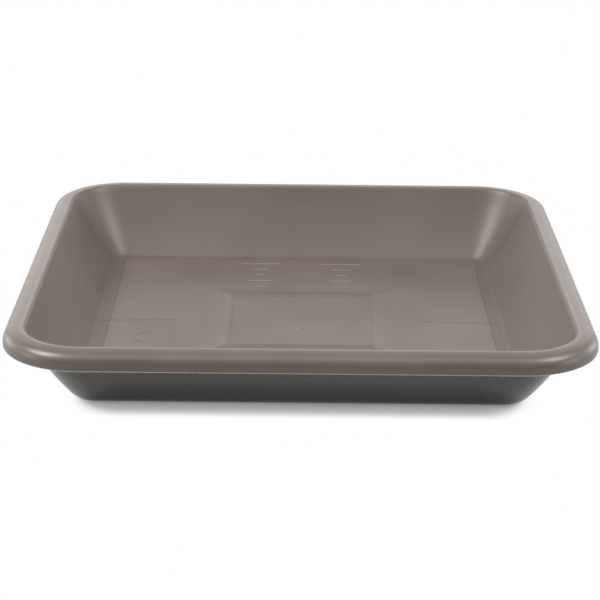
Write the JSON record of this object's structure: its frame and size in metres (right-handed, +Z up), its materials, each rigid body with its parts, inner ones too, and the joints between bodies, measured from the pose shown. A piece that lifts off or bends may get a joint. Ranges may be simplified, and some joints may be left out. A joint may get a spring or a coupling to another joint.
{
  "type": "plant saucer",
  "caption": "Square plant saucer: a shallow tray with sloping walls, rounded corners and a rolled rim, which stands under a flower pot and catches the water that drains from it.",
  "frame": {"origin": "on the ground, under the centre of the tray", "axes": "+Z up out of the tray, +X to the right and +Y to the rear, both square to the sides"},
  "size_m": [0.3, 0.3, 0.0407],
  "materials": {
    "moulded_plastic": "satin, as moulded"
  },
  "bodies": {
    "root": {"tray": "moulded_plastic", "rolled_rim": "moulded_plastic"}
  },
  "joints": []
}
